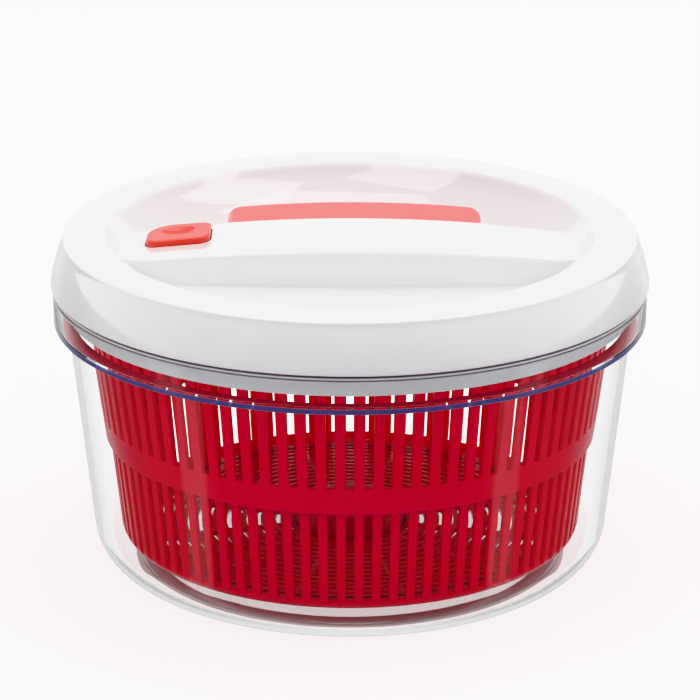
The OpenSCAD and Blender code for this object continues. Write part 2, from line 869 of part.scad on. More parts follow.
// White disc that covers the basket and drives its rim by six lugs
module drive_disc() {
  top = disc_z + disc_t;
  color("white")
    difference() {
      union() {
        rotate_extrude($fn = fine)
          polygon([[0, disc_z - 4.4], [8, disc_z - 4.4], [8, disc_z], [well_r + 4.5, disc_z],
            [well_r + 12, disc_rim_z], [disc_r, disc_rim_z], [disc_r, disc_rim_z + disc_t - 0.6],
            [disc_r - 0.6, disc_rim_z + disc_t], [well_r + 10.6, disc_rim_z + disc_t],
            [well_r + 3.2, top], [0, top]]);
        slot_ring(lug_count, 6.4, disc_r - 3.4, disc_r - 0.2, disc_rim_z - 3.8, disc_rim_z + eps);
        // stiffening ribs under the disc
        slot_ring(lug_count, 2, 7, well_r + 3, disc_z - 2.4, disc_z + eps, 30);
      }
      translate([0, 0, disc_z - 5])
        cylinder(r = shaft_r + 0.06, h = 8, $fn = 6);
    }
}

// Screw and washer head that hold the disc on the shaft
module disc_screw() {
  color("silver")
    translate([0, 0, shaft_end_z])
      pan_screw(1.2, 8, 5, 1.6);
}

// Red brake button with a thumb hollow and a flange that keeps it in the bridge
module brake_button() {
  foot_z = ring_z - 11.6;
  color("tomato")
    difference() {
      union() {
        difference() {
          union() {
            intersection() {
              translate([0, 0, foot_z])
                linear_extrude(height = 20)
                  polygon(button_plan(0));
              under_arch(-button_proud);
            }
            translate([0, 0, foot_z])
              linear_extrude(height = 1.6)
                polygon(button_plan(-1));
          }
          intersection() {
            translate([0, 0, foot_z - 1])
              linear_extrude(height = 20)
                polygon(button_plan(2));
            under_arch(2.2 - button_proud);
          }
        }
        // socket for the rod
        intersection() {
          translate([brake_x, brake_y, ring_z - 9])
            cylinder(r = 5.2, h = 10, $fn = 48);
          under_arch(1 - button_proud);
        }
      }
      translate([brake_x, brake_y, foot_z - 1])
        cylinder(r = brake_rod_r + 0.03, h = ring_z - 6 - foot_z + 1, $fn = 48);
      // thumb hollow
      translate([brake_x + 1, brake_y + 3, ring_z + 27.2])
        sphere(r = 31, $fn = 96);
    }
}

// Rod from the button down to the brake pad
module brake_rod() {
  color("ivory")
    translate([brake_x, brake_y, base_z + 2.2])
      cylinder(r = brake_rod_r, h = ring_z - 6 - base_z - 2.2, $fn = 48);
}

// Rubber pad that is pressed on the drive disc
module brake_pad() {
  color("dimgray")
    translate([brake_x, brake_y, 0])
      rotate_extrude($fn = 48)
        polygon([[0, base_z + 0.4], [5, base_z + 0.4], [5.5, base_z + 0.9], [5.5, base_z + 4.4],
          [brake_rod_r + 0.03, base_z + 4.4], [brake_rod_r + 0.03, base_z + 2.2], [0, base_z + 2.2]]);
}

// Return spring of the brake button
module brake_spring() {
  foot = frame_z + frame_t + 3.2;
  color("silver")
    translate([brake_x, brake_y, foot])
      coil_spring(ring_z - 9 - foot - 0.05, 4.2, 0.4, 5);
}

bowl();
foot_ring();
pivot_pin();
basket();
basket_bush();
lid_cover();
lid_base();
lid_screws();
gear_frame();
frame_screws();
trigger();
trigger_rack();
rack_screws();
trigger_spring_left();
trigger_spring_right();
gear_axle();
compound_gear();
clutch_gear();
shaft_bush();
drive_shaft();
pawl_carrier();
ratchet_pawl_a();
ratchet_pawl_b();
carrier_clip();
drive_disc();
disc_screw();
brake_button();
brake_rod();
brake_pad();
brake_spring();
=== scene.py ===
import math

import bmesh
import bpy
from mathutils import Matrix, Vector


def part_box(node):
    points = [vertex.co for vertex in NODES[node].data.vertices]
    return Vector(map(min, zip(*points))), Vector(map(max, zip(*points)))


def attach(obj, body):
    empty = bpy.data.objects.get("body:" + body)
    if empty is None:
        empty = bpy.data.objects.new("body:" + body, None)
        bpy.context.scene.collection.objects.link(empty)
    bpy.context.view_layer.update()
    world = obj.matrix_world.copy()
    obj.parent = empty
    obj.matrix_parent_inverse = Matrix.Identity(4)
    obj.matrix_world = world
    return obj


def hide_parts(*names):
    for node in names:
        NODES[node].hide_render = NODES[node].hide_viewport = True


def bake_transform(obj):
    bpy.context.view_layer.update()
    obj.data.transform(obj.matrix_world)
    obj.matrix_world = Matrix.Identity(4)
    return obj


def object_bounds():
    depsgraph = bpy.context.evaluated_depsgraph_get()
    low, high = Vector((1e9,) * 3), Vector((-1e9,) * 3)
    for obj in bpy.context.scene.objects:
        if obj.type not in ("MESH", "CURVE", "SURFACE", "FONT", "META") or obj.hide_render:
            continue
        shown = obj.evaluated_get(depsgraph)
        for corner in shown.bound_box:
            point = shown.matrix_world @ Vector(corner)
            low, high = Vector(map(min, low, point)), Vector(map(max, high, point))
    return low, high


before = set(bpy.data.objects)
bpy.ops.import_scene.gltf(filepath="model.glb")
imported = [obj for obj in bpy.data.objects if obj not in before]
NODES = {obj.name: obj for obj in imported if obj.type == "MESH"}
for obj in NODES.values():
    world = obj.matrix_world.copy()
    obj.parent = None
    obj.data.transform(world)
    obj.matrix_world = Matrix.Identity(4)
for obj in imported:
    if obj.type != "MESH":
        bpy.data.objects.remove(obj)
cad_box = [list(v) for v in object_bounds()]

# ---------------------------------------------------------------- sizes, in millimetres
MM = 0.001
WALL = 2.2
RING_Z = cad_box[1][2] / MM                   # top ring of the lid
LID_R = 131.0
RING_OUT_R = LID_R - 6
RING_IN_R = LID_R - 24.4
SKIRT_Z = RING_Z - 21

DISH_Z = RING_Z - 20
DISH_PLATE_R = 60                             # flat middle of the dish, made as one face
DISH_FLOOR_R = LID_R - 58.5
COVE_R = 39.5
COVE_ANGLE = 57

BRIDGE_TOP = RING_Z - 2
BRIDGE_HALF = 24.5
BRIDGE_SIDE_R = 1200
BRIDGE_END = 103.8
BRIDGE_EDGE = 2.5
BRIDGE_FOOT = 3.2                             # fillet between the bridge and the dish
UNDER_BRIDGE_X = 94                           # how far the dish is open under the bridge
ARCH_R = 890

TRIGGER_X = 2
TRIGGER_HALF = 57
TRIGGER_REAR = 57.5
TRIGGER_FRONT = 7
TRIGGER_BOW_R = 543
TRIGGER_CORNER = 6.5
TRIGGER_DROP = 2.55                           # trigger's top below the bridge's top
TRIGGER_GAP = 0.8
BUTTON_PROUD = 2.8
BUTTON_LIP = 1
WELL_GAP = 0.5

FLOOR_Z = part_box("bowl")[0].z / MM
COLLAR_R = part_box("bowl")[1].x / MM
RIM_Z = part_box("bowl")[1].z / MM
LEDGE_Z = RIM_Z - 16.4
GROOVE_IN_R, GROOVE_OUT_R, GROOVE_TOP = 87, 93, 2.6

SLOTS = 88
SLOT_W = 3.7
BASKET_Z, STEP_Z, BAND_Z, UPPER_TOP = 13.4, 60.8, 72.3, 118.8
BASKET_RIM = RING_Z - 25
BASKET_CORNER = 8
LOW_R, STEP_OUT, LOW_TAPER, TAPER = 106.6, 1.9, 0.104, 0.126
BASKET_WALL = 2.2
LOW_SLOT_Z = BASKET_Z + 4.6
HUB_R = 25.5
FLOOR_OUT_R = 90
FLOOR_SLOTS = [27 + 4.4 * i for i in range(14)]
FLOOR_SLOT_W = 2
SPOKES = 12
SPOKE_W = 2.4
NOTCHES = 6
NOTCH_W = 7.2


# ---------------------------------------------------------------- mesh helpers
def carve(target, body, cutter):
    """Adds to target what is left of the closed mesh body outside the closed mesh cutter."""
    pieces = []
    for name, shape in (("carved", body), ("cutter", cutter)):
        bmesh.ops.recalc_face_normals(shape, faces=shape.faces)
        mesh = bpy.data.meshes.new(name)
        shape.to_mesh(mesh)
        shape.free()
        pieces.append(bpy.data.objects.new(name, mesh))
        bpy.context.scene.collection.objects.link(pieces[-1])
    cut = pieces[0].modifiers.new("cut", "BOOLEAN")
    cut.operation, cut.solver, cut.object = "DIFFERENCE", "EXACT", pieces[1]
    seen = pieces[0].evaluated_get(bpy.context.evaluated_depsgraph_get())
    target.from_mesh(seen.to_mesh())
    seen.to_mesh_clear()
    for piece in pieces:
        mesh = piece.data
        bpy.data.objects.remove(piece)
        bpy.data.meshes.remove(mesh)


def new_object(name, bm, smooth_angle=35, outward=None):
    """Puts a bmesh in millimetres into the scene in metres, smooth with sharp edges above an angle.
    outward gives the direction that an open sheet's faces look at a point."""
    bmesh.ops.scale(bm, vec=(MM, MM, MM), verts=bm.verts)
    bmesh.ops.recalc_face_normals(bm, faces=bm.faces)
    if outward:
        bm.normal_update()
        wrong = [f for f in bm.faces if f.normal.dot(outward(f.calc_center_median())) < 0]
        bmesh.ops.reverse_faces(bm, faces=wrong)
    limit = math.radians(smooth_angle)
    for face in bm.faces:
        face.smooth = True
    for edge in bm.edges:
        edge.smooth = len(edge.link_faces) == 2 and edge.calc_face_angle(0) < limit
    mesh = bpy.data.meshes.new(name)
    bm.to_mesh(mesh)
    bm.free()
    piece = bpy.data.objects.new(name, mesh)
    bpy.context.scene.collection.objects.link(piece)
    return piece


def rounded(points, steps=5):
    """A closed polyline [(x, y, corner radius)] with each corner turned into an arc."""
    out = []
    n = len(points)
    for i, (x, y, radius) in enumerate(points):
        p = Vector((x, y))
        if radius <= 0:
            out.append((x, y))
            continue
        a = Vector(points[i - 1][:2]) - p
        b = Vector(points[(i + 1) % n][:2]) - p
        turn = a.angle(b)
        if turn > math.pi - 0.02:
            out.append((x, y))
            continue
        reach = min(radius / math.tan(turn / 2), a.length * 0.49, b.length * 0.49)
        radius = reach * math.tan(turn / 2)
        centre = p + (a.normalized() + b.normalized()).normalized() * (radius / math.sin(turn / 2))
        start = p + a.normalized() * reach - centre
        end = p + b.normalized() * reach - centre
        sweep = start.angle_signed(end)
        for k in range(steps + 1):
            angle = -sweep * k / steps
            c, s = math.cos(angle), math.sin(angle)
            out.append((centre.x + start.x * c - start.y * s, centre.y + start.x * s + start.y * c))
    return out


def revolve(bm, profile, segments=240):
    """Closed ring of revolution of a closed profile [(r, z)]; points on the axis become one vertex."""
    rings = []
    for r, z in profile:
        if r < 1e-6:
            rings.append([bm.verts.new((0, 0, z))] * segments)
        else:
            rings.append([bm.verts.new((r * math.cos(a), r * math.sin(a), z))
                          for a in (2 * math.pi * k / segments for k in range(segments))])
    for i in range(len(rings)):
        one, two = rings[i], rings[(i + 1) % len(rings)]
        for k in range(segments):
            n = (k + 1) % segments
            loop = []
            for v in (one[k], one[n], two[n], two[k]):
                if v not in loop:
                    loop.append(v)
            if len(loop) > 2:
                bm.faces.new(loop)


def skin(bm, loops, close_ends=True):
    """Joins loops of points with the same count into a tube, closed at its ends if asked."""
    rows = [[bm.verts.new(p) for p in loop] for loop in loops]
    for one, two in zip(rows, rows[1:]):
        for k in range(len(one)):
            n = (k + 1) % len(one)
            bm.faces.new((one[k], one[n], two[n], two[k]))
    if close_ends:
        bm.faces.new(rows[0])
        bm.faces.new(list(reversed(rows[-1])))
    return rows


def dome(bm, ring, height, steps, centre=None, hollow=None):
    """Closes a ring with rings that shrink to a point and follow height(x), less hollow(x, y)."""
    cx, cy = centre or [sum(v.co[i] for v in ring) / len(ring) for i in (0, 1)]

    def at(x, y):
        return bm.verts.new((x, y, height(x) - (hollow(x, y) if hollow else 0)))
    last = ring
    for k in range(1, steps):
        t = k / steps
        row = [at(v.co.x + (cx - v.co.x) * t, v.co.y + (cy - v.co.y) * t) for v in ring]
        for i in range(len(row)):
            n = (i + 1) % len(row)
            bm.faces.new((last[i], last[n], row[n], row[i]))
        last = row
    tip = at(cx, cy)
    for i in range(len(last)):
        bm.faces.new((last[i], last[(i + 1) % len(last)], tip))


# ---------------------------------------------------------------- material helpers
def shader(name, **values):
    mat = bpy.data.materials.new(name)
    mat.use_nodes = True
    nodes, links = mat.node_tree.nodes, mat.node_tree.links
    nodes.clear()
    out = nodes.new("ShaderNodeOutputMaterial")
    body = nodes.new("ShaderNodeBsdfPrincipled")
    links.new(body.outputs[0], out.inputs[0])
    for key, value in values.items():
        body.inputs[key.replace("_", " ")].default_value = value
    return mat, nodes, links, body, out


def noise(nodes, links, scale, detail=3, stretch=(1, 1, 1)):
    where = nodes.new("ShaderNodeTexCoord")
    mapping = nodes.new("ShaderNodeMapping")
    mapping.inputs["Scale"].default_value = stretch
    links.new(where.outputs["Object"], mapping.inputs["Vector"])
    tex = nodes.new("ShaderNodeTexNoise")
    tex.inputs["Scale"].default_value = scale
    tex.inputs["Detail"].default_value = detail
    links.new(mapping.outputs["Vector"], tex.inputs["Vector"])
    return tex.outputs[0]


def spread(nodes, links, source, low, high, to_low, to_high):
    node = nodes.new("ShaderNodeMapRange")
    for key, value in zip(("From Min", "From Max", "To Min", "To Max"), (low, high, to_low, to_high)):
        node.inputs[key].default_value = value
    links.new(source, node.inputs["Value"])
    return node.outputs["Result"]


def blend_colours(nodes, links, factor, one, two):
    """Mix of two colours, each a tuple or another node's output."""
    node = nodes.new("ShaderNodeMix")
    node.data_type = "RGBA"
    for socket, colour in (("A", one), ("B", two)):
        if isinstance(colour, tuple):
            node.inputs[socket].default_value = (*colour, 1)
        else:
            links.new(colour, node.inputs[socket])
    links.new(factor, node.inputs["Factor"])
    return node.outputs["Result"]


def blend_shaders(nodes, links, factor, one, two):
    node = nodes.new("ShaderNodeMixShader")
    for socket, source in zip(node.inputs, (factor, one.outputs[0], two.outputs[0])):
        links.new(source, socket)
    return node


def calculate(nodes, links, operation, *values):
    """One math node on plain numbers or other nodes' outputs."""
    node = nodes.new("ShaderNodeMath")
    node.operation = operation
    for socket, value in zip(node.inputs, values):
        if isinstance(value, (int, float)):
            socket.default_value = value
        else:
            links.new(value, socket)
    return node.outputs[0]


def between(nodes, links, source, low, high, soft):
    """1 where source, in metres, lies between low and high, in mm, with soft edges."""
    rise = spread(nodes, links, source, (low - soft) * MM, (low + soft) * MM, 0, 1)
    fall = spread(nodes, links, source, (high - soft) * MM, (high + soft) * MM, 1, 0)
    return calculate(nodes, links, "MULTIPLY", rise, fall)


def place_of(nodes, links):
    """Distance from the upright axis, Y and Z of the shaded point."""
    where = nodes.new("ShaderNodeTexCoord").outputs["Object"]
    split = nodes.new("ShaderNodeSeparateXYZ")
    links.new(where, split.inputs[0])
    flat = nodes.new("ShaderNodeVectorMath")
    flat.operation = "MULTIPLY"
    flat.inputs[1].default_value = (1, 1, 0)
    links.new(where, flat.inputs[0])
    radius = nodes.new("ShaderNodeVectorMath")
    radius.operation = "LENGTH"
    links.new(flat.outputs[0], radius.inputs[0])
    return radius.outputs["Value"], split.outputs["Y"], split.outputs["Z"]


def contents(mat):
    """A material's nodes, its links and its main shader."""
    nodes = mat.node_tree.nodes
    return nodes, mat.node_tree.links, next(n for n in nodes if n.type == "BSDF_PRINCIPLED")


def lay_over(nodes, links, body, factor, colour):
    """Lays a colour over the base colour where factor is 1."""
    plain = body.inputs["Base Color"].links[0].from_socket
    links.new(blend_colours(nodes, links, factor, plain, colour), body.inputs["Base Color"])


def emboss(nodes, links, body, pattern, strength, distance):
    """Bumps the surface by a pattern; distance is in metres."""
    node = nodes.new("ShaderNodeBump")
    node.inputs["Strength"].default_value = strength
    node.inputs["Distance"].default_value = distance
    links.new(pattern, node.inputs["Height"])
    links.new(node.outputs["Normal"], body.inputs["Normal"])


def moulded(name, one, two, rough=(0.18, 0.28), grain=900, bump=0.02, coat=0.0, **values):
    """Moulded plastic: slow colour drift, flow marks in the gloss and a fine skin texture."""
    mat, nodes, links, body, _ = shader(name, **values)
    drift = noise(nodes, links, 14, 2)
    links.new(blend_colours(nodes, links, spread(nodes, links, drift, 0.35, 0.65, 0, 1), one, two),
              body.inputs["Base Color"])
    flow = noise(nodes, links, 60, 4, (1, 1, 0.35))
    links.new(spread(nodes, links, flow, 0.3, 0.7, *rough), body.inputs["Roughness"])
    emboss(nodes, links, body, noise(nodes, links, grain, 2), bump, 0.0002)
    if coat:
        body.inputs["Coat Weight"].default_value = coat
        body.inputs["Coat Roughness"].default_value = 0.06
    return mat


def metal(name, one, two, rough=(0.2, 0.34), stretch=(1, 1, 12)):
    """Drawn or turned steel, with fine lines along one direction."""
    mat, nodes, links, body, _ = shader(name, Metallic=1.0)
    lines = noise(nodes, links, 350, 4, stretch)
    links.new(blend_colours(nodes, links, lines, one, two), body.inputs["Base Color"])
    links.new(spread(nodes, links, lines, 0.3, 0.7, *rough), body.inputs["Roughness"])
    emboss(nodes, links, body, lines, 0.08, 0.00005)
    return mat


def clear(name, tint, ior, rough=(0.0, 0.03), through=(0.97, 0.975, 0.98)):
    """Clear plastic: refracts for the camera and lets lamps and soft light straight through."""
    mat, nodes, links, body, out = shader(name, IOR=ior)
    body.inputs["Transmission Weight"].default_value = 1.0
    drift = noise(nodes, links, 9, 2)
    links.new(blend_colours(nodes, links, drift, tint, tuple(min(1, c * 1.01) for c in tint)),
              body.inputs["Base Color"])
    haze = noise(nodes, links, 40, 3)
    links.new(spread(nodes, links, haze, 0.45, 0.8, *rough), body.inputs["Roughness"])
    path = nodes.new("ShaderNodeLightPath")
    either = calculate(nodes, links, "MAXIMUM",
                       path.outputs["Is Shadow Ray"], path.outputs["Is Diffuse Ray"])
    window = nodes.new("ShaderNodeBsdfTransparent")
    window.inputs["Color"].default_value = (*through, 1)
    links.new(blend_shaders(nodes, links, either, body, window).outputs[0], out.inputs[0])
    return mat


# ---------------------------------------------------------------- materials
# painted shade with painted red light from the basket, laid on the dish's cove
DISH_PAINTED_SHADE = (0.76, 0.725, 0.738)
# painted light: navy for the light carried along the thick ledge inside the clear plastic
LEDGE_PAINTED_LIGHT = (0.110, 0.115, 0.300)
# painted shade: dark mauve lines for the dark refraction at the rim's rounded top
RIM_PAINTED_SHADE = (0.150, 0.120, 0.140)
# painted reflection: the basket's red laid on the clear shelf inside the ledge
SHELF_PAINTED_REFLECTION = (0.70, 0.060, 0.100)
GROOVE_PALE = (0.92, 0.80, 0.80)
LINE_COVER = 0.85                             # how much of the clear plastic's clarity a line takes


def paint_dish_shade(mat):
    """Painted shade and painted red light from the basket on the thin dish: a faint, darker mauve near the
    ring.
    """
    nodes, links, body = contents(mat)
    radius, y, z = place_of(nodes, links)
    total = spread(nodes, links, radius, 0.066, 0.092, 0, 1)
    for factor in (spread(nodes, links, radius, 0.1055, 0.1062, 1, 0),
                   spread(nodes, links, z, 0.1285, 0.1300, 0, 1),
                   spread(nodes, links, calculate(nodes, links, "ABSOLUTE", y), 0.024, 0.028, 0, 1)):
        total = calculate(nodes, links, "MULTIPLY", total, factor)
    lay_over(nodes, links, body, total, DISH_PAINTED_SHADE)


def paint_edge_light_and_groove_band(mat):
    """Lines where the clear plastic is thick: painted light in navy at the ledge, painted shade in mauve at
    the rim, a painted reflection of the red basket on the shelf inside the ledge, and a pale band round the
    groove of the soft ring."""
    nodes, links, body = contents(mat)
    radius, _, z = place_of(nodes, links)
    collar = between(nodes, links, radius, COLLAR_R - 1.75, COLLAR_R + 10, 0.25)
    shelf = between(nodes, links, radius, 0, COLLAR_R - 2.9, 0.3)
    groove = between(nodes, links, radius, GROOVE_IN_R - 0.3, GROOVE_OUT_R + 3.4, 0.15)
    clarity = 1.0
    for zone, low, high, soft, colour in (
            (collar, LEDGE_Z + 0.5, LEDGE_Z + 2.7, 0.15, LEDGE_PAINTED_LIGHT),
            (collar, RIM_Z - 1.9, RIM_Z - 1.2, 0.15, RIM_PAINTED_SHADE),
            (collar, RIM_Z - 0.55, RIM_Z + 1, 0.15, RIM_PAINTED_SHADE),
            (shelf, LEDGE_Z + 2.2, LEDGE_Z + 3.0, 0.15, SHELF_PAINTED_REFLECTION),
            (groove, -1, GROOVE_TOP + 0.2, 0.05, GROOVE_PALE)):
        factor = calculate(nodes, links, "MULTIPLY", zone, between(nodes, links, z, low, high, soft))
        lay_over(nodes, links, body, factor, colour)
        clarity = calculate(nodes, links, "MULTIPLY_ADD", factor, -LINE_COVER, clarity)
    links.new(clarity, body.inputs["Transmission Weight"])


WHITE = moulded("white_gloss", (0.86, 0.86, 0.865), (0.84, 0.84, 0.845), (0.06, 0.11), 1100, 0.010,
                coat=1.0)
# paints shade and red light from the basket onto the dish's cove
paint_dish_shade(WHITE)
INNER_WHITE = moulded("white_inner", (0.84, 0.84, 0.84), (0.80, 0.80, 0.80), (0.24, 0.36), 900, 0.03)
GREY = moulded("grey_inner", (0.50, 0.51, 0.52), (0.45, 0.46, 0.47), (0.38, 0.5), 900, 0.05)
CORAL = moulded("coral_gloss", (0.82, 0.064, 0.042), (0.78, 0.057, 0.037), (0.16, 0.26), 1000, 0.03,
                coat=0.2)
CRIMSON = moulded("crimson_gloss", (0.97, 0.008, 0.046), (0.93, 0.007, 0.042), (0.16, 0.27), 700, 0.05,
                  Subsurface_Weight=1.0, Subsurface_Radius=(1.0, 0.12, 0.15), Subsurface_Scale=0.006)
ACETAL = moulded("natural_acetal", (0.78, 0.76, 0.69), (0.72, 0.70, 0.63), (0.36, 0.48), 900, 0.05)
DARK_ACETAL = moulded("dark_acetal", (0.10, 0.10, 0.11), (0.07, 0.07, 0.08), (0.38, 0.5), 900, 0.05)
RUBBER = moulded("brake_rubber", (0.02, 0.02, 0.02), (0.035, 0.035, 0.035), (0.6, 0.8), 500, 0.2)
SOFT = moulded("soft_ring", (0.66, 0.180, 0.220), (0.61, 0.165, 0.200), (0.35, 0.5), 600, 0.08,
               Transmission_Weight=0.25, IOR=1.42)
STEEL = metal("bright_steel", (0.62, 0.62, 0.63), (0.50, 0.50, 0.51))
SPRING_STEEL = metal("spring_steel", (0.48, 0.47, 0.46), (0.36, 0.35, 0.34), (0.24, 0.36), (1, 1, 1))
CLEAR = clear("clear_plastic", (0.985, 0.99, 0.995), 1.5)
# paints light, shade and reflection lines into the clear plastic, with a pale band round the soft ring's
# groove
paint_edge_light_and_groove_band(CLEAR)


def paint(obj, mat):
    obj.data.materials.clear()
    obj.data.materials.append(mat)


def place(piece, body, mat, slot, *nodes):
    paint(piece, mat)
    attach(piece, body)
    if nodes:
        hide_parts(*nodes)
    return piece


# ---------------------------------------------------------------- lid shell
def dish_height(r):
    """Top of the dish at radius r: flat floor, then a circular cove up to the ring."""
    if r <= DISH_FLOOR_R:
        return DISH_Z
    run = min(r - DISH_FLOOR_R, COVE_R * math.sin(math.radians(COVE_ANGLE)))
    return DISH_Z + COVE_R - math.sqrt(COVE_R * COVE_R - run * run)


def arch_height(x):
    return BRIDGE_TOP - ARCH_R + math.sqrt(ARCH_R * ARCH_R - x * x)


def bridge_side(x):
    return BRIDGE_HALF - x * x / (2 * BRIDGE_SIDE_R)


def cove_points(depth, steps=22):
    """The dish's cove, or the same arc further out by depth."""
    r = COVE_R + depth
    angles = [math.radians(COVE_ANGLE) * k / steps for k in range(steps + 1)]
    return [(DISH_FLOOR_R + r * math.sin(a), DISH_Z + COVE_R - r * math.cos(a)) for a in angles]


def skirt_points(inset, steps=10):
    """Skirt from the ring down to its foot, as a curve drawn towards a point outside its middle."""
    start, pull, end = (RING_OUT_R + 0.2, RING_Z - 1.6), (RING_OUT_R + 4.2, RING_Z - 11), (LID_R, SKIRT_Z)
    out = []
    for k in range(steps + 1):
        t = k / steps
        r, z = [(1 - t) ** 2 * a + 2 * t * (1 - t) * b + t * t * c for a, b, c in zip(start, pull, end)]
        out.append((r - inset, z))
    return out


def lid_section():
    """Closed section of the cover from the dish's flat floor out to the skirt."""
    top = cove_points(0)
    points = [(DISH_PLATE_R, DISH_Z, 0)] + [(r, z, 0) for r, z in top[:-1]]
    points += [(RING_IN_R + 0.1, RING_Z - 0.1, 0.9), (RING_OUT_R - 8, RING_Z, 0),
               (RING_OUT_R - 0.1, RING_Z, 1.1)]
    outer, inner = skirt_points(0), skirt_points(WALL)
    points += [(r, z, 0) for r, z in outer[:-1]]
    points += [(LID_R, SKIRT_Z, 0.6), (LID_R - WALL, SKIRT_Z, 0.6)]
    points += [(r, z, 0) for r, z in reversed(inner[1:-1])]
    points += [(RING_OUT_R - WALL, RING_Z - WALL, 1), (RING_IN_R + WALL, RING_Z - WALL - 0.2, 2)]
    points += [(r, z, 0) for r, z in reversed(cove_points(WALL)[:-2])]
    points += [(DISH_PLATE_R, DISH_Z - WALL, 0)]
    return rounded(points)


def split_at(bm, point, normal):
    geom = bm.verts[:] + bm.edges[:] + bm.faces[:]
    bmesh.ops.bisect_plane(bm, geom=geom, dist=1e-5, plane_co=point, plane_no=normal)


def make_dish_and_skirt(bm):
    """Ring, skirt and dish, with the strip under the bridge cut out."""
    revolve(bm, lid_section(), 288)

    def on_plate_edge(v):
        return abs(math.hypot(v.co.x, v.co.y) - DISH_PLATE_R) < 1e-3
    # the flat middle of the dish: a plate that closes the revolved ring's inner edge
    for z in (DISH_Z, DISH_Z - WALL):
        ring = [v for v in bm.verts if abs(v.co.z - z) < 1e-4 and on_plate_edge(v)]
        ring.sort(key=lambda v: math.atan2(v.co.y, v.co.x))
        bm.faces.new(ring)
    walls = [f for f in bm.faces if len(f.verts) == 4 and all(on_plate_edge(v) for v in f.verts)]
    bmesh.ops.delete(bm, geom=walls, context="FACES_ONLY")
    side = BRIDGE_HALF - WALL / 2 - BRIDGE_FOOT
    for sign in (-1, 1):
        split_at(bm, (0, sign * side, 0), (0, 1, 0))
        split_at(bm, (sign * UNDER_BRIDGE_X, 0, 0), (1, 0, 0))
    inside = []
    for face in bm.faces:
        x, y, z = face.calc_center_median()
        if abs(x) < UNDER_BRIDGE_X and abs(y) < side and z < BRIDGE_TOP:
            inside.append(face)
    bmesh.ops.delete(bm, geom=inside, context="FACES")


def bridge_section(x, open_rear):
    """Closed section of the bridge's skin at x, as points (y, z), with rounded long edges."""
    top, side = arch_height(x), bridge_side(x)
    inner = 0.9
    base = DISH_Z - WALL + 0.4

    def foot_curve(sign):
        """Concave fillet where the side meets the dish, from the dish up to the side."""
        curve = []
        for k in range(7):
            a = math.radians(90 * k / 6)
            y = side + BRIDGE_FOOT * (1 - math.sin(a))
            z = dish_height(math.hypot(x, y)) - 0.05 + BRIDGE_FOOT * (1 - math.cos(a))
            curve.append((sign * y, min(z, top - 0.3), 0))
        return curve
    front, rear = foot_curve(-1), foot_curve(1)
    points = [(front[0][0], base, 0)] + front + [(-side, top, BRIDGE_EDGE)]
    points += [(y, top, 0) for y in (-14, 0, 14)]
    if open_rear:
        under = top - WALL - 0.25
        points += [(side, top, BRIDGE_EDGE), (side, under, 0), (side - 4, under, 0.5),
                   (side - 5, top - WALL, 0.5)]
    else:
        points += [(side, top, BRIDGE_EDGE)] + list(reversed(rear))
        points += [(rear[0][0], base, 0), (side - WALL, base, 0), (side - WALL, top - WALL, inner)]
    points += [(-side + WALL, top - WALL, inner), (-side + WALL, base, 0)]
    return rounded(points, 6)


def button_sides():
    """Left, right, front and rear of the brake button, inside its base lip."""
    low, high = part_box("brake_button")
    return (low.x / MM + BUTTON_LIP, high.x / MM - BUTTON_LIP,
            low.y / MM + BUTTON_LIP, high.y / MM - BUTTON_LIP)


def button_outline(inset, steps=10):
    """Brake button seen from above, with a large corner at the back."""
    x0, x1, y0, y1 = button_sides()
    points = []
    for x, y, start, r in ((x0, y0, 180, 4.5), (x1, y0, 270, 6.5), (x1, y1, 0, 4), (x0, y1, 90, 12)):
        cx = x + (r if x == x0 else -r)
        cy = y + (r if y == y0 else -r)
        for k in range(steps):
            a = math.radians(start + 90 * k / (steps - 1))
            points.append((cx + (r - inset) * math.cos(a), cy + (r - inset) * math.sin(a)))
    return points


def make_bridge(bm):
    """Bridge in three stretches: with the button's well, with the trigger's mouth, and plain."""
    left, right = [TRIGGER_X + sign * (TRIGGER_HALF + TRIGGER_GAP) for sign in (-1, 1)]
    for x0, x1 in ((-BRIDGE_END, left), (left, right), (right, BRIDGE_END)):
        steps = max(2, round((x1 - x0) / 2.5))
        loops = []
        for k in range(steps + 1):
            x = x0 + (x1 - x0) * k / steps
            loops.append([(x, y, z) for y, z in bridge_section(x, x0 == left)])
        if x1 != left:
            skin(bm, loops)
            continue
        stretch, well = bmesh.new(), bmesh.new()
        skin(stretch, loops)
        skin(well, [[(x, y, z) for x, y in button_outline(-WELL_GAP)] for z in (DISH_Z - 10, RING_Z + 5)])
        carve(bm, stretch, well)


def make_lid():
    bm = bmesh.new()
    make_dish_and_skirt(bm)
    make_bridge(bm)
    return new_object("lid_shell", bm, 30)


# ---------------------------------------------------------------- trigger
def trigger_outline():
    """Outline seen from above, from the front left corner round the bowed rear edge."""
    x0, x1 = TRIGGER_X - TRIGGER_HALF, TRIGGER_X + TRIGGER_HALF
    r, front = TRIGGER_CORNER, TRIGGER_FRONT

    def rear(x):
        return TRIGGER_REAR - (x - TRIGGER_X) ** 2 / (2 * TRIGGER_BOW_R)

    def corner(x, start):
        angles = [math.radians(start + 90 * k / 8) for k in range(9)]
        return [(x + r * math.cos(a), rear(x) - r + r * math.sin(a)) for a in angles]
    points = [(x0 + (x1 - x0) * k / 12, front) for k in range(13)]
    points += [(x1, front + (rear(x1 - r) - r - front) * k / 6) for k in range(1, 6)]
    points += corner(x1 - r, 0)
    along = [x1 - r - (x1 - x0 - 2 * r) * k / 16 for k in range(1, 16)]
    points += [(x, rear(x)) for x in along]
    points += corner(x0 + r, 90)
    points += [(x0, rear(x0 + r) - r + (front - rear(x0 + r) + r) * k / 6) for k in range(1, 6)]
    return points


def trigger_top(x):
    return arch_height(x) - TRIGGER_DROP


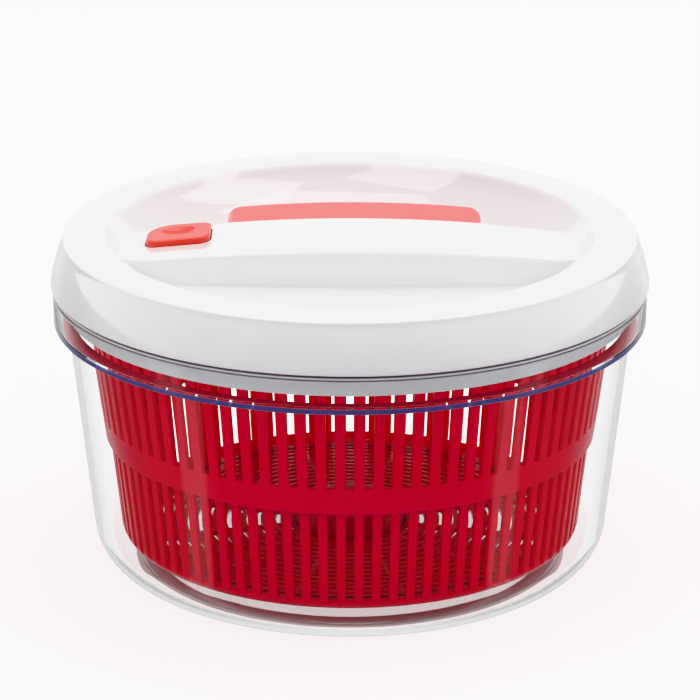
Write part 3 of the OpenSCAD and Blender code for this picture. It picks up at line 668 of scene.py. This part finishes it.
def trigger_mouth(foot, ceiling):
    """The room inside the hood's front, which is open so that the hood clears the gears."""
    bm = bmesh.new()
    reach = TRIGGER_HALF - WALL - 0.5
    front, back = TRIGGER_FRONT - 2, TRIGGER_FRONT + WALL + 0.3
    loops = []
    for k in range(41):
        x = TRIGGER_X - reach + 2 * reach * k / 40
        high = trigger_top(x) - ceiling
        loops.append([(x, front, foot - 1), (x, back, foot - 1), (x, back, high), (x, front, high)])
    skin(bm, loops)
    return bm


def make_trigger():
    """Hood with a rounded top edge, softer at its ends, and an open underside and front."""
    bm = bmesh.new()
    foot = DISH_Z + 1.2
    ceiling = WALL + 0.3
    outline = trigger_outline()
    count = len(outline)
    normals = []
    for k in range(count):
        along = (Vector(outline[(k + 1) % count]) - Vector(outline[k - 1])).normalized()
        normals.append(Vector((-along.y, along.x)))
    edges = [0.8 + (2.4 * n.x * n.x if y > TRIGGER_FRONT + 0.01 else 0)
             for (x, y), n in zip(outline, normals)]

    def ring(a):
        """Loop on the rounded edge, from the side (0) to the top (90 degrees)."""
        loop = []
        for (x, y), n, e in zip(outline, normals, edges):
            reach = e * (1 - math.cos(a))
            height = trigger_top(x) - e * (1 - math.sin(a))
            loop.append((x + n.x * reach, max(TRIGGER_FRONT, y + n.y * reach), height))
        return loop
    loops = [[(x, y, foot) for x, y in outline]] + [ring(math.radians(18 * k)) for k in range(6)]
    rows = skin(bm, loops, close_ends=False)
    dome(bm, rows[-1], trigger_top, 14)
    inner = [(x + n.x * WALL, max(TRIGGER_FRONT + WALL, y + n.y * WALL))
             for (x, y), n in zip(outline, normals)]
    inside = skin(bm, [[(x, y, foot) for x, y in inner],
                       [(x, y, trigger_top(x) - ceiling) for x, y in inner]], close_ends=False)
    dome(bm, inside[-1], lambda x: trigger_top(x) - ceiling, 8)
    for k in range(count):
        n = (k + 1) % count
        bm.faces.new((rows[0][n], rows[0][k], inside[0][k], inside[0][n]))
    hood = bmesh.new()
    carve(hood, bm, trigger_mouth(foot, ceiling))
    return new_object("trigger_hood", hood, 32)


# ---------------------------------------------------------------- brake button
def make_button():
    """Brake button: raised block with a large back corner and an oval thumb dip."""
    x0, x1, y0, y1 = button_sides()
    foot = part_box("brake_button")[0].z / MM
    cx, cy = (x0 + x1) / 2 + 0.6, (y0 + y1) / 2 + 0.6
    dip_x, dip_y, dip_depth = 8.4, 6.0, 1.8
    edge = 0.9

    def top(x):
        return arch_height(x) + BUTTON_PROUD

    def dip(x, y):
        """Depth of the oval thumb hollow, with a crisp rim."""
        d = ((x - cx) / dip_x) ** 2 + ((y - cy) / dip_y) ** 2
        return 0 if d >= 1 else dip_depth * (1 - d) ** 0.8
    bm = bmesh.new()
    loops = [[(x, y, foot) for x, y in button_outline(0)]]
    for k in range(6):
        a = math.radians(18 * k)
        outline = button_outline(edge * (1 - math.cos(a)))
        loops.append([(x, y, top(x) - edge * (1 - math.sin(a))) for x, y in outline])
    rows = skin(bm, loops, close_ends=False)
    bm.faces.new(rows[0])
    dome(bm, rows[-1], top, 30, (cx, cy), dip)
    return new_object("button_cap", bm, 24)


# ---------------------------------------------------------------- bowl
def bowl_profile():
    """Closed section of the bowl, from its centre boss out under the floor, up the wall and back inside."""
    wall_r = COLLAR_R - 6
    taper, corner, wall = 0.1017, 20, 2.6
    lean = math.atan(taper)
    cz = FLOOR_Z + corner
    cx = wall_r - (LEDGE_Z - cz) * taper - corner * math.sqrt(1 + taper * taper)

    def corner_arc(r, steps=20):
        angles = [-math.pi / 2 + (math.pi / 2 - lean) * k / steps for k in range(steps + 1)]
        return [(cx + r * math.cos(a), cz + r * math.sin(a), 0) for a in angles]
    points = [(0, 6.5, 0), (5, 6.5, 1), (9, FLOOR_Z, 1), (GROOVE_IN_R, FLOOR_Z, 0.3),
              (GROOVE_IN_R, GROOVE_TOP, 0), (GROOVE_OUT_R, GROOVE_TOP, 0), (GROOVE_OUT_R, FLOOR_Z, 0.3)]
    points += corner_arc(corner)
    points += [(wall_r, LEDGE_Z, 0.5), (COLLAR_R, LEDGE_Z + 0.3, 0.6), (COLLAR_R, RIM_Z, 1.3),
               (COLLAR_R - 3.6, RIM_Z, 1.2), (COLLAR_R - 3.6, RIM_Z - 2.4, 0.5),
               (COLLAR_R - wall, RIM_Z - 3.6, 1), (COLLAR_R - wall, LEDGE_Z + 2.9, 0.3),
               (wall_r - wall, LEDGE_Z + 2.6, 0.4)]
    points += reversed(corner_arc(corner - wall))
    points += [(cx - 0.4, 4.8, 0.5), (85.8, 4.8, 0.5), (85, FLOOR_Z + wall, 0.4), (22, FLOOR_Z + wall, 3),
               (12, 8.5, 3), (8, 15, 0.8), (2.55, 15, 0.3), (2.55, 8.5, 0), (0, 8.5, 0)]
    return rounded(points, 6)


def make_bowl():
    bm = bmesh.new()
    revolve(bm, bowl_profile(), 320)
    return new_object("clear_bowl", bm, 50)


# ---------------------------------------------------------------- basket
def basket_r(z):
    if z < STEP_Z:
        return LOW_R - (STEP_Z - z) * LOW_TAPER
    return LOW_R + STEP_OUT + (z - STEP_Z) * TAPER


def turned(r, angles, z):
    """Points at radius r and height z, at each angle round the upright axis."""
    return [(r * math.cos(a), r * math.sin(a), z) for a in angles]


def slotted_band(bm, levels, is_open):
    """Sheet of revolution from levels [(r, z)] with upright slots; is_open(i) says where row i has slots."""
    period = 2 * math.pi / SLOTS
    columns = 3                               # faces in one period: a slot and two halves of a rib
    rows = []
    for r, z in levels:
        half = math.asin(SLOT_W / 2 / r)
        row = []
        for k in range(SLOTS):
            row += turned(r, (k * period - half, k * period + half, (k + 0.5) * period), z)
        rows.append([bm.verts.new(p) for p in row])
    count = SLOTS * columns
    for i in range(len(rows) - 1):
        for k in range(count):
            if k % columns == 0 and is_open(i):
                continue
            n = (k + 1) % count
            bm.faces.new((rows[i][k], rows[i][n], rows[i + 1][n], rows[i + 1][k]))


def floor_sheet(bm):
    """Flat sheet from the hub to the corner with ring-shaped slots between straight spokes."""
    radii = [HUB_R - 1]
    open_rows = set()
    for r in FLOOR_SLOTS:
        open_rows.add(len(radii))
        radii += [r, r + FLOOR_SLOT_W]
    radii.append(FLOOR_OUT_R)
    between_spokes = 9
    columns = between_spokes + 1
    rows = []
    for r in radii:
        half = math.asin(SPOKE_W / 2 / r)
        span = math.radians(360 / SPOKES) - 2 * half
        row = []
        for k in range(SPOKES):
            mid = math.radians(15 + 360 / SPOKES * k)
            angles = [mid - half] + [mid + half + span * j / between_spokes for j in range(between_spokes)]
            row += turned(r, angles, BASKET_Z)
        rows.append([bm.verts.new(p) for p in row])
    count = SPOKES * columns
    for i in range(len(rows) - 1):
        for k in range(count):
            if i in open_rows and k % columns:
                continue
            n = (k + 1) % count
            bm.faces.new((rows[i][k], rows[i][n], rows[i + 1][n], rows[i + 1][k]))


def sheet_to_solid(name, bm, edge_width, outward):
    """Turns a sheet into a closed wall of even thickness, inwards from its face normals."""
    piece = new_object(name, bm, 40, outward)
    solid = piece.modifiers.new("wall", "SOLIDIFY")
    solid.thickness = BASKET_WALL * MM
    solid.offset = -1
    solid.use_even_offset = True
    edge = piece.modifiers.new("edge", "BEVEL")
    edge.width = edge_width * MM
    edge.segments = 2
    edge.limit_method = "ANGLE"
    edge.angle_limit = math.radians(40)
    edge.harden_normals = False
    return piece


def flatten_modifiers(piece):
    """Applies a piece's modifiers to its mesh."""
    depsgraph = bpy.context.evaluated_depsgraph_get()
    mesh = bpy.data.meshes.new_from_object(piece.evaluated_get(depsgraph))
    piece.modifiers.clear()
    piece.data = mesh


def join(pieces, name):
    bm = bmesh.new()
    for piece in pieces:
        flatten_modifiers(piece)
        bm.from_mesh(piece.data)
        bpy.data.objects.remove(piece)
    mesh = bpy.data.meshes.new(name)
    bm.to_mesh(mesh)
    bm.free()
    out = bpy.data.objects.new(name, mesh)
    bpy.context.scene.collection.objects.link(out)
    return out


def basket_wall():
    """Wall with two rows of upright slots, a step and a plain band between them."""
    corner = BASKET_CORNER
    cx, cz = basket_r(BASKET_Z + corner) - corner, BASKET_Z + corner
    angles = [math.radians(90) * k / 12 for k in range(13)]
    arc = [(cx + corner * math.sin(a), cz - corner * math.cos(a)) for a in angles]
    slot_start = (cx + math.sqrt(corner ** 2 - (cz - LOW_SLOT_Z) ** 2), LOW_SLOT_Z)
    levels = [(FLOOR_OUT_R - 1, BASKET_Z)] + [p for p in arc if p[1] < LOW_SLOT_Z - 0.3]
    first_open = len(levels)
    levels += [slot_start] + [p for p in arc[:-1] if p[1] > LOW_SLOT_Z + 0.3]
    levels += [(basket_r(z), z) for z in (cz, 30, 38, 46, 54, STEP_Z - 0.6)]
    last_open = len(levels) - 1
    levels += [(LOW_R, STEP_Z), (LOW_R + 1.0, STEP_Z + 0.1), (LOW_R + STEP_OUT, STEP_Z + 0.5)]
    levels += [(basket_r(z), z) for z in (66, BAND_Z)]
    second_open = len(levels) - 1
    levels += [(basket_r(z), z) for z in (82, 92, 102, 111, UPPER_TOP)]
    second_last = len(levels) - 1
    levels += [(basket_r(z), z) for z in (BASKET_RIM - 3.6, BASKET_RIM - 2.4)]
    bm = bmesh.new()
    slotted_band(bm, levels, lambda i: first_open <= i < last_open or second_open <= i < second_last)
    return sheet_to_solid("wall", bm, 0.28, lambda p: Vector((p.x, p.y, (p.z - 0.03) * 0.9)))


def basket_floor():
    bm = bmesh.new()
    floor_sheet(bm)
    return sheet_to_solid("floor", bm, 0.2, lambda p: Vector((0, 0, -1)))


def basket_hub():
    """Hub round the bowl's pin, and the ring where the floor meets the wall."""
    top = BASKET_Z + BASKET_WALL
    hub = [(4.55, 17.5, 0.2), (6.8, 17.5, 0.4), (6.8, 24.4, 1), (14, 24.4, 2), (20, BASKET_Z, 2),
           (HUB_R, BASKET_Z, 0.2), (HUB_R, top, 0.3), (21.2, top, 2), (15.2, 26.6, 3),
           (4, 26.6, 0.4), (4, 25.6, 0), (4.55, 25.6, 0)]
    inner, outer = FLOOR_OUT_R - 1.4, FLOOR_OUT_R + 0.4
    seam = [(inner, BASKET_Z, 0.3), (outer, BASKET_Z, 0.3), (outer, top + 0.3, 0.3), (inner, top + 0.3, 0.3)]
    bm = bmesh.new()
    revolve(bm, rounded(hub, 4), 96)
    revolve(bm, rounded(seam, 3), 176)
    return new_object("hub", bm, 40)


def basket_rim():
    """Rim flange in arcs between the notches."""
    r, z = basket_r(BASKET_RIM), BASKET_RIM
    section = rounded([(r - BASKET_WALL, z - 4.6, 0.3), (r - 0.35, z - 4.6, 0), (r - 0.1, z - 2.6, 0.3),
                       (r + 2.6, z - 2.4, 0.5), (r + 2.6, z, 0.6), (r - BASKET_WALL, z, 0.5)], 3)
    half_notch = math.asin(NOTCH_W / 2 / r)
    period = 2 * math.pi / NOTCHES
    bm = bmesh.new()
    for k in range(NOTCHES):
        start = period * k + half_notch
        loops = []
        for j in range(31):
            a = start + (period - 2 * half_notch) * j / 30
            loops.append([(x * math.cos(a), x * math.sin(a), y) for x, y in section])
        skin(bm, loops)
    return new_object("rim", bm, 40)


def make_basket():
    return join([basket_wall(), basket_floor(), basket_hub(), basket_rim()], "spin_basket")


# ---------------------------------------------------------------- springs
def coil(name, length, coil_r, wire_r, turns, place_point):
    """Coil spring with closed end turns; place_point turns (x, y, along) into a point."""
    steps, sides = 22, 9
    total = int(turns * steps)
    loops = []
    for i in range(total + 1):
        a = 2 * math.pi * i / steps
        t = i / total
        ease = min(1, max(0, (t * turns - 0.9) / (turns - 1.8)))
        along = wire_r + (length - 2 * wire_r) * (0.06 * t + 0.94 * ease)
        loop = []
        for k in range(sides):
            b = 2 * math.pi * k / sides
            r = coil_r + wire_r * math.cos(b)
            loop.append(place_point(r * math.cos(a), r * math.sin(a), along + wire_r * math.sin(b)))
        loops.append(loop)
    bm = bmesh.new()
    skin(bm, loops)
    return new_object(name, bm, 60)


def place_spring(piece, node):
    """Finishes a spring that sits between the lid and a body that moves in it: paints it, hides the CAD
    spring and bakes its transform into its mesh.
    """
    paint(piece, SPRING_STEEL)
    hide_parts(node)
    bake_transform(piece)


def make_springs():
    for side in ("left", "right"):
        low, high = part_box("trigger_spring_" + side)
        middle = (low + high) / 2
        x, y, z = middle.x / MM, low.y / MM, middle.z / MM
        piece = coil("hood_spring_" + side, (high.y - low.y) / MM, 2.75, 0.4, 9,
                     lambda a, b, along: (x + a, y + along, z + b))
        place_spring(piece, "trigger_spring_" + side)
    low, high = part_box("brake_spring")
    middle = (low + high) / 2
    x, y, z = middle.x / MM, middle.y / MM, low.z / MM
    piece = coil("button_spring", (high.z - low.z) / MM, 4.2, 0.4, 5,
                 lambda a, b, along: (x + a, y + b, z + along))
    place_spring(piece, "brake_spring")


# ---------------------------------------------------------------- build
place(make_lid(), "lid", WHITE, "white_plastic", "lid_cover")
place(make_trigger(), "trigger", CORAL, "red_trigger", "trigger")
place(make_button(), "brake", CORAL, "red_trigger", "brake_button")
place(make_bowl(), "bowl", CLEAR, "clear_plastic", "bowl")
place(make_basket(), "basket", CRIMSON, "red_basket", "basket")
make_springs()

FINISH = {
    "foot_ring": SOFT, "pivot_pin": STEEL, "basket_bush": ACETAL, "lid_base": INNER_WHITE,
    "lid_screws": STEEL, "gear_frame": GREY, "frame_screws": STEEL, "trigger_rack": ACETAL,
    "rack_screws": STEEL, "gear_axle": STEEL, "compound_gear": ACETAL, "clutch_gear": ACETAL,
    "shaft_bush": ACETAL, "drive_shaft": STEEL, "pawl_carrier": ACETAL, "ratchet_pawl_a": DARK_ACETAL,
    "ratchet_pawl_b": DARK_ACETAL, "carrier_clip": STEEL, "drive_disc": INNER_WHITE,
    "disc_screw": STEEL, "brake_rod": INNER_WHITE, "brake_pad": RUBBER}
for node, mat in FINISH.items():
    paint(NODES[node], mat)

# ---------------------------------------------------------------- stage
FLOOR_GLOW = 0.9
FLOOR_SHADE = 0.85                            # share of the glow under the bowl, a painted shadow
FLOOR_THROWN = (0.62, 0.60, 0.62)
FLOOR_SIZE = 6000                             # half its side, in mm


def make_stage():
    """Pale floor that glows white to the eye, with a painted shadow where it glows a little less under the
    bowl. It is clear to reflected rays and quieter to soft light."""
    bm = bmesh.new()
    bmesh.ops.create_grid(bm, x_segments=8, y_segments=8, size=FLOOR_SIZE)
    floor = new_object("floor", bm)
    mat, nodes, links, body, out = shader("floor_white", Roughness=0.7)
    drift = noise(nodes, links, 2, 2)
    links.new(blend_colours(nodes, links, drift, (0.93, 0.93, 0.93), (0.91, 0.91, 0.91)),
              body.inputs["Base Color"])
    body.inputs["Specular IOR Level"].default_value = 0.2
    body.inputs["Emission Color"].default_value = (1, 1, 1, 1)
    radius = place_of(nodes, links)[0]
    links.new(spread(nodes, links, radius, 0.084, 0.098, FLOOR_SHADE * FLOOR_GLOW, FLOOR_GLOW),
              body.inputs["Emission Strength"])
    thrown = nodes.new("ShaderNodeBsdfDiffuse")
    thrown.inputs["Color"].default_value = (*FLOOR_THROWN, 1)
    hole = nodes.new("ShaderNodeBsdfTransparent")
    path = nodes.new("ShaderNodeLightPath")
    seen = body
    for depth, other in (("Diffuse Depth", thrown), ("Glossy Depth", hole)):
        bounced = calculate(nodes, links, "MINIMUM", path.outputs[depth], 1)
        seen = blend_shaders(nodes, links, bounced, seen, other)
    links.new(seen.outputs[0], out.inputs[0])
    paint(floor, mat)


# grey of the room below the horizon, by bearing from the front (0) round to the back (1)
ROOM_BELOW = ((0.0, 0.02), (0.37, 0.02), (0.38, 0.5), (0.445, 0.5), (0.455, 0.12), (0.68, 0.14),
              (0.76, 0.45), (0.84, 0.80), (1.0, 0.85))
ROOM_FRONT, ROOM_BACK, ROOM_TOP = (0.16, 0.16, 0.18), (1.45, 1.45, 1.45), (0.66, 0.66, 0.66)


def make_world():
    """Studio room: bright behind, grey above, dark in front, with two upright strips low down."""
    world = bpy.data.worlds.new("studio")
    bpy.context.scene.world = world
    world.use_nodes = True
    nodes, links = world.node_tree.nodes, world.node_tree.links
    split = nodes.new("ShaderNodeSeparateXYZ")
    links.new(nodes.new("ShaderNodeTexCoord").outputs["Generated"], split.inputs[0])
    x, y, z = split.outputs
    depth = spread(nodes, links, y, -0.9, 0.5, 0, 1)
    level = blend_colours(nodes, links, depth, ROOM_FRONT, ROOM_BACK)
    above = blend_colours(nodes, links, spread(nodes, links, z, 0.05, 0.75, 0, 1), level, ROOM_TOP)
    bearing = calculate(nodes, links, "ARCTAN2", y, calculate(nodes, links, "ABSOLUTE", x))
    below = nodes.new("ShaderNodeValToRGB")
    links.new(spread(nodes, links, bearing, -math.pi / 2, math.pi / 2, 0, 1), below.inputs[0])
    stops = below.color_ramp.elements
    while len(stops) < len(ROOM_BELOW):
        stops.new(0.5)
    for stop, (at, grey) in zip(stops, ROOM_BELOW):
        stop.position = at
        stop.color = (grey, grey, grey, 1)
    horizon = spread(nodes, links, z, -0.03, -0.01, 0, 1)
    links.new(blend_colours(nodes, links, horizon, below.outputs["Color"], above),
              nodes["Background"].inputs["Color"])


# name, place, aim, width and height in metres, radiance
LAMPS = (
    ("top_box", (0.1, 0.55, 2.0), (0, 0, 0.1), (1.3, 1.1), 2.6),
    ("left_box", (-0.62, -0.65, 1.55), (0, 0, 0.14), (1.0, 1.1), 2.6),
    ("right_box", (0.90, 0.05, 1.55), (0, 0, 0.14), (0.95, 1.1), 3.2))


def make_lights():
    for name, place_at, target, size, radiance in LAMPS:
        light = bpy.data.lights.new(name, "AREA")
        light.shape = "RECTANGLE"
        light.size, light.size_y = size
        light.energy = radiance * math.pi * size[0] * size[1]
        lamp = bpy.data.objects.new(name, light)
        lamp.location = place_at
        lamp.rotation_euler = (Vector(target) - Vector(place_at)).to_track_quat("-Z", "Y").to_euler()
        bpy.context.scene.collection.objects.link(lamp)


EYE = (0, -1.300, 0.5534)
EYE_DOWN = 19.45                              # degrees below level
LENS = 160.4


def make_camera():
    camera = bpy.data.cameras.new("camera")
    camera.sensor_width = 36
    camera.lens = LENS
    eye = bpy.data.objects.new("camera", camera)
    eye.location = EYE
    eye.rotation_euler = (math.radians(90 - EYE_DOWN), 0, 0)
    bpy.context.scene.collection.objects.link(eye)
    bpy.context.scene.camera = eye


make_stage()
make_world()
make_lights()
make_camera()
bpy.context.scene.view_settings.view_transform = "Khronos PBR Neutral"
